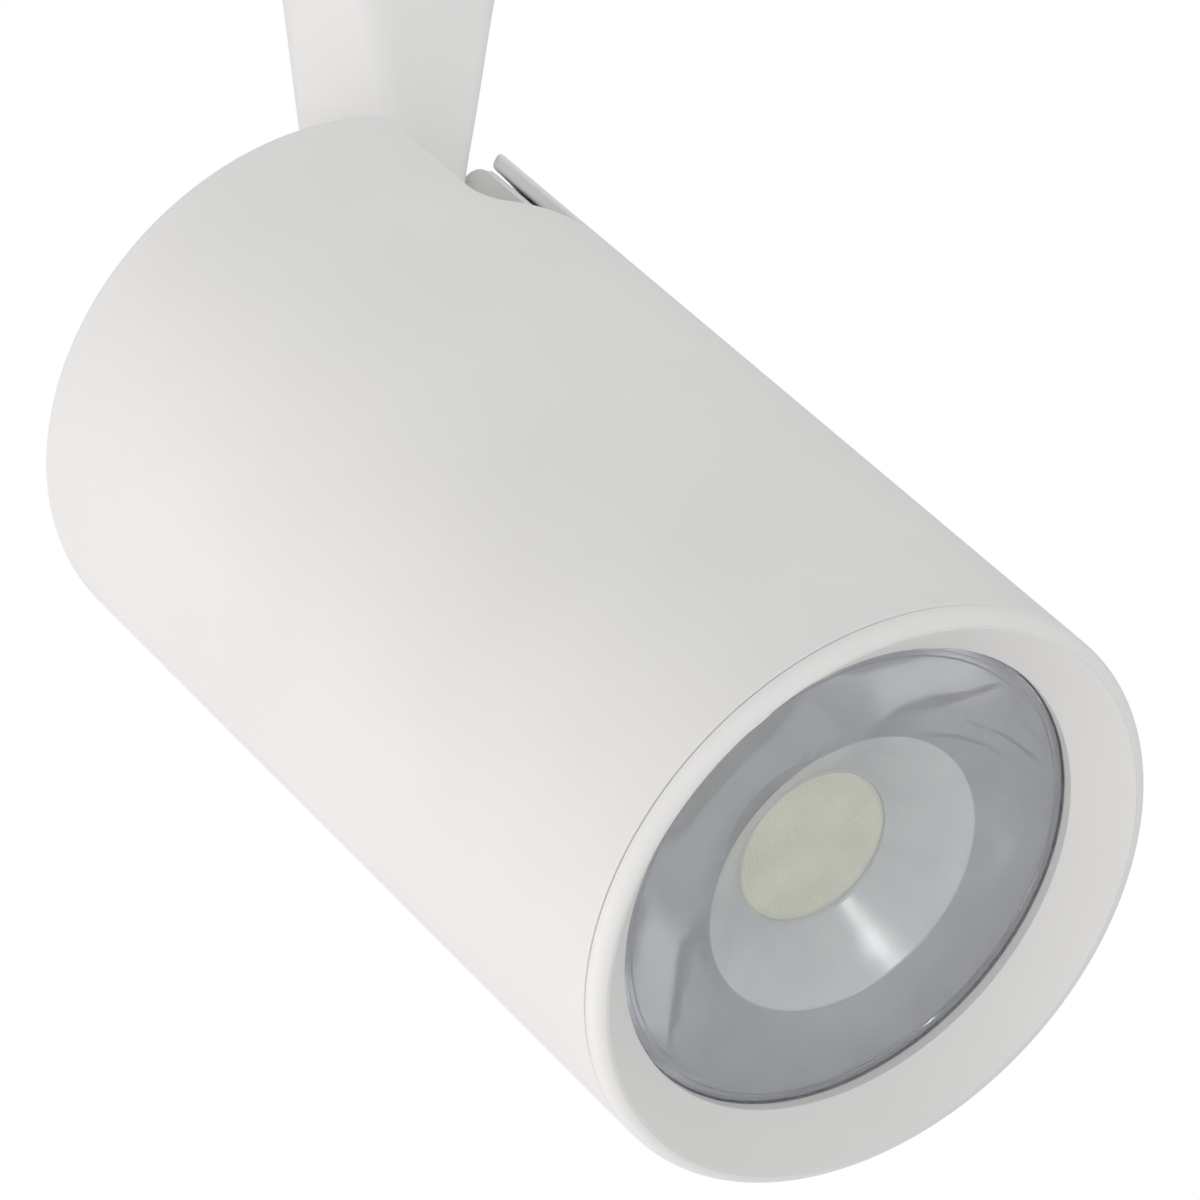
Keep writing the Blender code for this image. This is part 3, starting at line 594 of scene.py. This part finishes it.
def make_housing():
    """The tube: outer and inner skins on one grid of columns, joined by rounded edges at its openings."""
    front_s = SEAM_S + GAP
    front_rows = [front_s + SEAM_EDGE, *SHELL_ROWS]
    rim = housing_rim()
    notch = []
    for x, s, away in slot_front()[1:-1]:
        notch.append((math.asin((x + away[0] * SHELL_EDGE) / HEAD_R), s + away[1] * SHELL_EDGE, away))

    body = bmesh.new()
    skins = []
    for depth in (0.0, WALL):
        columns = []
        for angle, top_s, _ in rim:
            rows = front_rows + rear_rows(top_s)
            columns.append([body.verts.new(tube_point(angle, s, depth)) for s in rows])
        for angle, s, _ in notch:
            columns.append([body.verts.new(tube_point(angle, row, depth)) for row in front_rows + [s]])
        for left, right in zip(columns[-1:] + columns[:-1], columns):
            for row in range(min(len(left), len(right)) - 1):
                body.faces.new((left[row], right[row], right[row + 1], left[row + 1]))
        skins.append(columns)

    # Each opening's edge as (column, row, angle, s, direction), in order round the opening
    last = len(front_rows) + REAR_ROWS
    side = list(zip(range(len(front_rows), last), rear_rows(rim[0][1])))
    rear_edge = [(i, last, angle, top_s, away) for i, (angle, top_s, away) in enumerate(rim)]
    rear_edge += [(len(rim) - 1, row, rim[-1][0], s, (-1.0, 0.0)) for row, s in reversed(side)]
    for i, (angle, s, away) in enumerate(notch, len(rim)):
        rear_edge.append((i, len(front_rows), angle, s, away))
    rear_edge += [(0, row, rim[0][0], s, (1.0, 0.0)) for row, s in side]
    front_edge = []
    for i, (angle, _, _) in enumerate(rim + notch):
        front_edge.append((i, 0, angle, front_s + SEAM_EDGE, (0.0, 1.0)))

    for opening, edge in ((rear_edge, SHELL_EDGE), (front_edge, SEAM_EDGE)):
        turns = [math.pi / 8 * k for k in (1, 2, 3, 4)]
        quarter = [(edge * (1 - math.sin(turn)), edge * (1 - math.cos(turn))) for turn in turns]
        wall = quarter + [(offset, WALL - depth) for offset, depth in reversed(quarter)]
        loops = [[skins[0][i][row] for i, row, *_ in opening]]
        for offset, depth in wall:
            loop = []
            for _, _, angle, s, away in opening:
                x = HEAD_R * math.sin(angle) + away[0] * (offset - edge)
                moved = math.asin(x / HEAD_R) if away[0] else angle
                loop.append(body.verts.new(tube_point(moved, s + away[1] * (offset - edge), depth)))
            loops.append(loop)
        loops.append([skins[1][i][row] for i, row, *_ in opening])
        for low, high in zip(loops, loops[1:]):
            bridge(body, low, high)
    bmesh.ops.recalc_face_normals(body, faces=body.faces)
    weighted(piece("head_shell", body, HEAD, "head", "head_paint", "housing"))


def make_bezel():
    """The dished front ring, with a rounded rim, a lip over the lens and a skirt inside the tube."""
    centre_r = HEAD_R - BEZEL_FILLET_R
    fillet = arc(BEZEL_FILLET_R, centre_r, NOSE_S + BEZEL_FILLET_R, 0, -90, 14)
    seat_r, skirt_outer = LENS_R + 0.6, HEAD_R - WALL - GAP
    lip = [(OPENING_R, OPENING_S), (OPENING_R, LIP_S), (seat_r, LIP_S), (seat_r, SEAT_S)]
    skirt = [(SKIRT_R, SEAT_S), (SKIRT_R, SKIRT_S), (skirt_outer, SKIRT_S), (skirt_outer, SEAM_S)]
    outline = eased([fillet[-1], *lip, *skirt, (HEAD_R, SEAM_S), fillet[0]], BEZEL_EDGE)
    profile = [(r, at(s)) for r, s in outline + fillet[1:-1]]
    weighted(piece("bezel_ring", lathe(profile, FINE), HEAD, "head", "head_paint", "front_bezel"))


def collector_radius(s):
    """Radius of the lens's reflecting outer surface: a parabola from its rim to its flange."""
    share = (LENS_RIM_S - s) / (LENS_RIM_S - LENS_FLANGE_S)
    return math.sqrt(LENS_RIM_R**2 + (LENS_STEP_R**2 - LENS_RIM_R**2) * share)


def make_lens():
    """The collector lens: a flat face, a well with a floor of lenslets, and a faceted reflecting side."""
    body = bmesh.new()
    dip_s = LENS_FRONT_S + 0.15
    front = [(LENS_R, LENS_FLANGE_S), (LENS_R, LENS_STEP_S), (LENS_STEP_R, LENS_STEP_S)]
    front += [(LENS_STEP_R, LENS_FRONT_S + 0.2), (LENS_STEP_R - 0.3, LENS_FRONT_S)]
    front += [(GROOVE_R + 0.5, LENS_FRONT_S), (GROOVE_R + 0.3, dip_s), (GROOVE_R - 0.3, dip_s)]
    front += [(GROOVE_R - 0.5, LENS_FRONT_S), (WELL_R + 0.5, LENS_FRONT_S), (WELL_R + 0.1, dip_s)]
    rows = 9
    top_s, foot_r, foot_s = LENS_FRONT_S + 0.4, WELL_FLOOR_R + 0.6, WELL_FLOOR_S - 0.6
    well = []
    for i in range(rows + 1):
        share = i / rows
        well.append((WELL_R + (foot_r - WELL_R) * share, top_s + (foot_s - top_s) * share))
    well += [(WELL_FLOOR_R + 0.1, foot_s + 0.1), (WELL_FLOOR_R, WELL_FLOOR_S)]
    loops = []
    for radius, s in front + well:
        loops.append([body.verts.new((x, y, at(s))) for x, y in circle(radius, LENS_STEPS)])
    for low, high in zip(loops, loops[1:]):
        bridge(body, low, high)
    body.faces.ensure_lookup_table()
    for face in body.faces[(len(front) - 1) * LENS_STEPS:]:
        face.material_index = WELL_ZONE
    lenslet_floor(body, loops[-1])

    # The reflecting side: every other vertex of each row is set in, in staggered rows.
    back = []
    for i in range(FACET_ROWS + 1):
        s = LENS_RIM_S + (LENS_FLANGE_S - LENS_RIM_S) * i / FACET_ROWS
        ring = []
        for k in range(LENS_STEPS):
            set_in = FACET_HEIGHT if (i + k) % 2 and 0 < i < FACET_ROWS else 0.0
            radius = collector_radius(s) - set_in
            angle = 2 * math.pi * k / LENS_STEPS
            ring.append(body.verts.new((radius * math.cos(angle), radius * math.sin(angle), at(s))))
        back.append(ring)
    front_faces = len(body.faces)
    for low, high in zip(back, back[1:]):
        bridge(body, low, high)
    bridge(body, back[-1], loops[0])
    inner = [(CAVITY_R, LENS_RIM_S), (CAVITY_R, CAVITY_S + 0.3), (CAVITY_R - 0.3, CAVITY_S)]
    inner += [(r, CAVITY_S + 1.2 * (1 - (r / CAVITY_R) ** 2)) for r in (9.0, 7.0, 5.0, 3.0, 1.2)]
    cavity = [back[0]]
    for radius, s in inner:
        cavity.append([body.verts.new((x, y, at(s))) for x, y in circle(radius, LENS_STEPS)])
    for low, high in zip(cavity, cavity[1:]):
        bridge(body, low, high)
    body.faces.new(cavity[-1])
    body.faces.ensure_lookup_table()
    for face in body.faces[front_faces:]:
        face.material_index = FACET_ZONE
    bmesh.ops.recalc_face_normals(body, faces=body.faces)
    made = piece("collector_lens", body, HEAD, "head", "lens_clear", "lens", sharp=9)
    for material in LENS_ZONES[1:]:
        made.data.materials.append(material)


def lenslet_floor(body, rim):
    """Fills the well's floor with a square grid of low domes, out to the rim's vertices."""
    limit = WELL_FLOOR_R - 0.25
    step = LENSLET_PITCH / 4
    count = int(WELL_FLOOR_R / step) + 1
    grid = [(i * step, j * step) for i in range(-count, count + 1) for j in range(-count, count + 1)]
    inside = [Vector(p) for p in grid if Vector(p).length < limit]
    border = [vertex.co.xy.copy() for vertex in rim]
    edges = [(i, (i + 1) % len(border)) for i in range(len(border))]
    points, _, faces, origin, _, _ = delaunay_2d_cdt(border + inside, edges, [], 1, 0.0001)
    made = []
    for index, point in enumerate(points):
        sources = [o for o in origin[index] if o < len(border)]
        if sources:
            made.append(rim[sources[0]])
            continue
        turns = point * (2 * math.pi / LENSLET_PITCH)
        wave = math.cos(turns.x) * math.cos(turns.y)
        fade = min(1.0, (limit + 0.2 - point.length) / 0.8)
        height = LENSLET_HEIGHT * 0.5 * (1 + wave) * fade
        made.append(body.verts.new((point.x, point.y, at(WELL_FLOOR_S - height))))
    for face in faces:
        body.faces.new([made[i] for i in face]).material_index = FLOOR_ZONE


def make_holder():
    """The cup behind the lens, which closes the light in."""

    def side(start_s, end_s, away):
        rows = [start_s + (end_s - start_s) * i / 12 for i in range(13)]
        return [(collector_radius(s) + away, s) for s in rows]

    inner = side(CUP_FOOT_S, CUP_RIM_S, 0.6)
    outer = side(CUP_LIP_S, CUP_FOOT_S, 2.2)
    profile = [(r, at(s)) for r, s in inner + [(CUP_R, CUP_RIM_S), (CUP_R, CUP_LIP_S)] + outer]
    piece("lens_cup", lathe(profile, ROUND), HEAD, "head", "holder_plastic", "lens_holder", sharp=30)


# --- Driver box ------------------------------------------------------------------------------------


def make_lever(node, rides_on, joint):
    """A lever with grip grooves across the outer face of its tab."""
    made = refined(node, rides_on, "box_plastic", 0.3)
    start_y = JOINTS[joint]["pos_m"][1] / MM - FIRST_GROOVE
    grooves = []
    for i in range(GROOVES):
        y = start_y + GROOVE_PITCH * i
        grooves.append(block(TAB_FACE_X - 0.5, TAB_FACE_X + 1, y - 0.4, y + 0.4, -10, 0))
    cut(made, grooves, Matrix.Identity(4), 35)


# --- Arm -------------------------------------------------------------------------------------------


def smooth(value, low, high):
    """Rises from 0 at low to 1 at high, level at both ends."""
    share = min(1.0, max(0.0, (value - low) / (high - low)))
    return share * share * (3 - 2 * share)


def arm_ring(height):
    """The arm's outline at a height above the pivot: a round eye, a flared blade, then a round collar."""
    width, depth, radius = ARM_WIDTH, ARM_DEPTH, ARM_EDGE
    if height < 0:
        depth = 2 * math.sqrt(max(0.01, (ARM_DEPTH / 2) ** 2 - height**2))
        radius = min(radius, depth / 2 - 0.02)
    flare = min(height, FLARE_TO + 4) - FLARE_FROM
    if flare > -FLARE_EASE:
        grown = flare if flare > FLARE_EASE else (flare + FLARE_EASE) ** 2 / (4 * FLARE_EASE)
        width += FLARE_PER_MM * grown
        radius += FLARE_EDGE * smooth(height, FLARE_FROM, FLARE_TO)
    neck = smooth(height, FLARE_TO - 2, COLLAR_FROM)
    width += (2 * COLLAR_R - width) * neck
    depth += (2 * COLLAR_R - depth) * neck
    radius += (COLLAR_R - 0.01 - radius) * neck
    return [(x, y, height) for x, y in rounded(-width / 2, width / 2, -depth / 2, depth / 2, radius)]


def make_arm():
    """The arm's casting, bored for the pivot bolt, the lead and the swivel."""
    eye = [-ARM_DEPTH / 2 * math.cos(math.pi / 2 * i / 24) * 0.9995 for i in range(24)]
    blade = [0.0, 6.0, 12.0, 18.0, 24.0, 30.0]
    flare = [34.0 + i * 1.5 for i in range(38)]
    top = []
    for k in range(4):
        angle = math.pi / 2 * k / 3
        size = 1 - COLLAR_EDGE * (1 - math.cos(angle)) / COLLAR_R
        height = ARM_LENGTH - COLLAR_EDGE + COLLAR_EDGE * math.sin(angle)
        top.append([(x * size, y * size, height) for x, y, _ in arm_ring(ARM_LENGTH)])
    body = loft([arm_ring(height) for height in eye + blade + flare] + top)
    made = piece("arm_casting", body, ARM, "arm", "head_paint", "arm", sharp=50)

    pivot_bore = rod(PIVOT_BORE_R, -20, 20)
    bmesh.ops.transform(pivot_bore, matrix=Matrix.Rotation(math.pi / 2, 4, "Y"), verts=pivot_bore.verts)
    channel = block(-LEAD_HALF, LEAD_HALF, -LEAD_HALF, LEAD_HALF, 15, 85)
    window = prism(rounded(-3.1, 3.1, 15.4, 25, 1.2), 0, 20)
    swap_y_and_z = Matrix(((1, 0, 0, 0), (0, 0, 1, 0), (0, 1, 0, 0), (0, 0, 0, 1)))
    bmesh.ops.transform(window, matrix=swap_y_and_z, verts=window.verts)
    bmesh.ops.recalc_face_normals(window, faces=window.faces)
    stud_bore = rod(STUD_BORE_R, 82, ARM_LENGTH + 5)
    stop_bore = rod(STOP_BORE_R, ARM_LENGTH - 5, ARM_LENGTH + 5, 24, 0, STOP_Y)
    cut(made, [pivot_bore, channel, window, stud_bore, stop_bore], ARM, 50)


# --- Stage -----------------------------------------------------------------------------------------


def aim(thing, place, target):
    """Puts a light or camera at a place, looking at a target."""
    thing.location = place
    thing.rotation_mode = "QUATERNION"
    thing.rotation_quaternion = (target - place).to_track_quat("-Z", "Y")


def soft_light(name, direction, size, power, colour, target):
    """A round light that faces its target from a direction."""
    data = bpy.data.lights.new(name, "AREA")
    data.shape = "DISK"
    data.size = size
    data.energy = power
    data.color = colour
    light = bpy.data.objects.new(name, data)
    bpy.context.scene.collection.objects.link(light)
    aim(light, target + direction.normalized() * SOFT_LIGHT_AWAY, target)


def spot_light(name, place, target, angle, power):
    """A narrow beam with a soft edge."""
    data = bpy.data.lights.new(name, "SPOT")
    data.energy = power
    data.spot_size = math.radians(angle)
    data.spot_blend = 1.0
    data.shadow_soft_size = 0.15
    light = bpy.data.objects.new(name, data)
    bpy.context.scene.collection.objects.link(light)
    aim(light, place, target)


def make_floor():
    """A pale floor well below the hanging spotlight."""
    body = bmesh.new()
    bmesh.ops.create_circle(body, cap_ends=True, segments=96, radius=14.0)
    mesh = bpy.data.meshes.new("floor")
    body.to_mesh(mesh)
    body.free()
    floor = bpy.data.objects.new("floor", mesh)
    bpy.context.scene.collection.objects.link(floor)
    floor.location = (0, 0, -1.6)
    material, tree, shader = nodes_of("pale_floor")
    shade_of_floor = ramp(tree, noise(tree, 0.6, 2), (0.88, 0.88, 0.88), (0.92, 0.92, 0.92))
    tree.links.new(shade_of_floor, shader.inputs["Base Color"])
    shader.inputs["Roughness"].default_value = 0.8
    mesh.materials.append(material)


def make_room():
    """An evenly lit white room, plain white behind the spotlight."""
    world = bpy.data.worlds.new("white_room")
    world.use_nodes = True
    bpy.context.scene.world = world
    tree = world.node_tree
    room = tree.nodes["Background"]
    room.inputs["Color"].default_value = (1.0, 1.0, 1.0, 1.0)
    room.inputs["Strength"].default_value = ROOM_LIGHT
    backdrop = tree.nodes.new("ShaderNodeBackground")
    backdrop.inputs["Color"].default_value = (1.0, 1.0, 1.0, 1.0)
    path = tree.nodes.new("ShaderNodeLightPath")
    mix = tree.nodes.new("ShaderNodeMixShader")
    tree.links.new(path.outputs["Is Camera Ray"], mix.inputs["Fac"])
    tree.links.new(room.outputs["Background"], mix.inputs[1])
    tree.links.new(backdrop.outputs["Background"], mix.inputs[2])
    tree.links.new(mix.outputs["Shader"], tree.nodes["World Output"].inputs["Surface"])


def make_camera():
    """A long-lens camera looking up at the spotlight. Returns its right, down and forward directions."""
    pitch, heading = math.radians(15.0), math.radians(44.36)
    level = math.cos(pitch)
    forward = Vector((math.sin(heading) * level, math.cos(heading) * level, math.sin(pitch)))
    right = Vector((math.cos(heading), -math.sin(heading), 0.0))
    down = forward.cross(right)
    ring_centre = HEAD @ Vector((0.0, 0.0, at(0.0) * MM))
    place = ring_centre - right * 0.0366 - down * 0.0405 - forward * 0.9421
    data = bpy.data.cameras.new("camera")
    data.lens = 209.85
    data.sensor_width = 36.0
    data.clip_start = 0.05
    data.clip_end = 60.0
    camera = bpy.data.objects.new("camera", data)
    bpy.context.scene.collection.objects.link(camera)
    aim(camera, place, place + forward)
    bpy.context.scene.camera = camera
    return right, down, forward


def make_lights(right, down, forward):
    """A broad key light from the side, a small fill that glints in the lens's well, a spot on the arm."""
    middle = HEAD @ Vector((0.0, 0.0, at(HEAD_MIDDLE_S) * MM))
    key = -right * 0.81 + down * 0.54 - forward * 0.25
    soft_light("key_light", key, 1.3, 12.0, (1.0, 0.95, 0.94), middle)
    fill = right * 0.42 + down * 0.07 - forward * 0.905
    soft_light("fill_light", fill, 0.28, 3.0, (1.0, 1.0, 1.0), middle)
    neck = PIVOT + Vector((0.0, 0.0, 0.07))
    place = neck + (right * 0.35 - down * 0.3 - forward * 0.89) * SPOT_AWAY
    spot_light("arm_light", place, neck, 10, 30.0)


def build():
    """Paints the carried pieces, then makes the fine pieces, the stage, the camera and the lights."""
    for node, slot in CARRIED.items():
        thing = frame["nodes"][node]
        thing.data.materials.clear()
        thing.data.materials.append(MATERIALS[slot])
    make_housing()
    make_bezel()
    make_lens()
    make_holder()
    make_arm()
    refined("pivot_bracket", "head", "head_paint", 0.4)
    refined("rear_cover", "head", "cover_plastic", 0.35)
    for number in (1, 2, 3):
        make_screw(f"cover_screw_{number}", "head", HEAD, 0.45)
    refined("pivot_bolt", "head", "steel", 0.4)
    refined("driver_housing", "driver_box", "box_plastic", 0.5)
    refined("adapter_base", "driver_box", "box_plastic", 0.3)
    refined("adapter_tower", "driver_box", "box_plastic", 0.3)
    for number in (1, 2, 3, 4):
        make_screw(f"base_screw_{number}", "driver_box", Matrix.Identity(4), 0.06)
    make_lever("lock_lever", "lock", "lock_turn")
    make_lever("contact_lever", "contacts", "contact_turn")
    make_floor()
    make_room()
    make_lights(*make_camera())
    bpy.context.scene.view_settings.view_transform = "Standard"


build()
